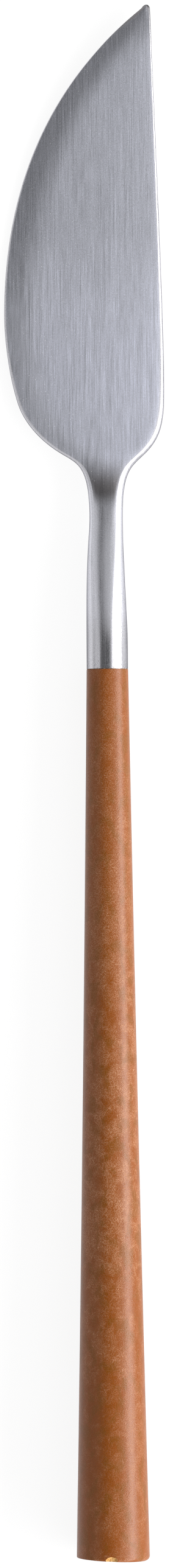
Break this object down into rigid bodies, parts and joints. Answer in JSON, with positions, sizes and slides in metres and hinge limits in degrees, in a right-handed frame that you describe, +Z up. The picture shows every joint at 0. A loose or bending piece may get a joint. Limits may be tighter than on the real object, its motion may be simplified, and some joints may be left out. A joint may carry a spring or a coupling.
{
  "type": "fish knife",
  "caption": "Table fish knife: broad brushed steel blade with one curved edge, a straight back and a blunt point, on a slim neck, with a round tapered brown resin handle.",
  "frame": {"origin": "on the table, under the middle of the knife's box, with the knife lying as it comes to rest", "axes": "+Y along the knife from the butt to the point, +X towards the straight back, +Z up from the table"},
  "size_m": [0.0215, 0.2095, 0.0098],
  "materials": {
    "steel": "brushed along the blade",
    "resin": "satin",
    "bond": "matte"
  },
  "bodies": {
    "root": {"blade": "steel", "handle": "resin", "tang_adhesive": "bond"}
  },
  "joints": []
}
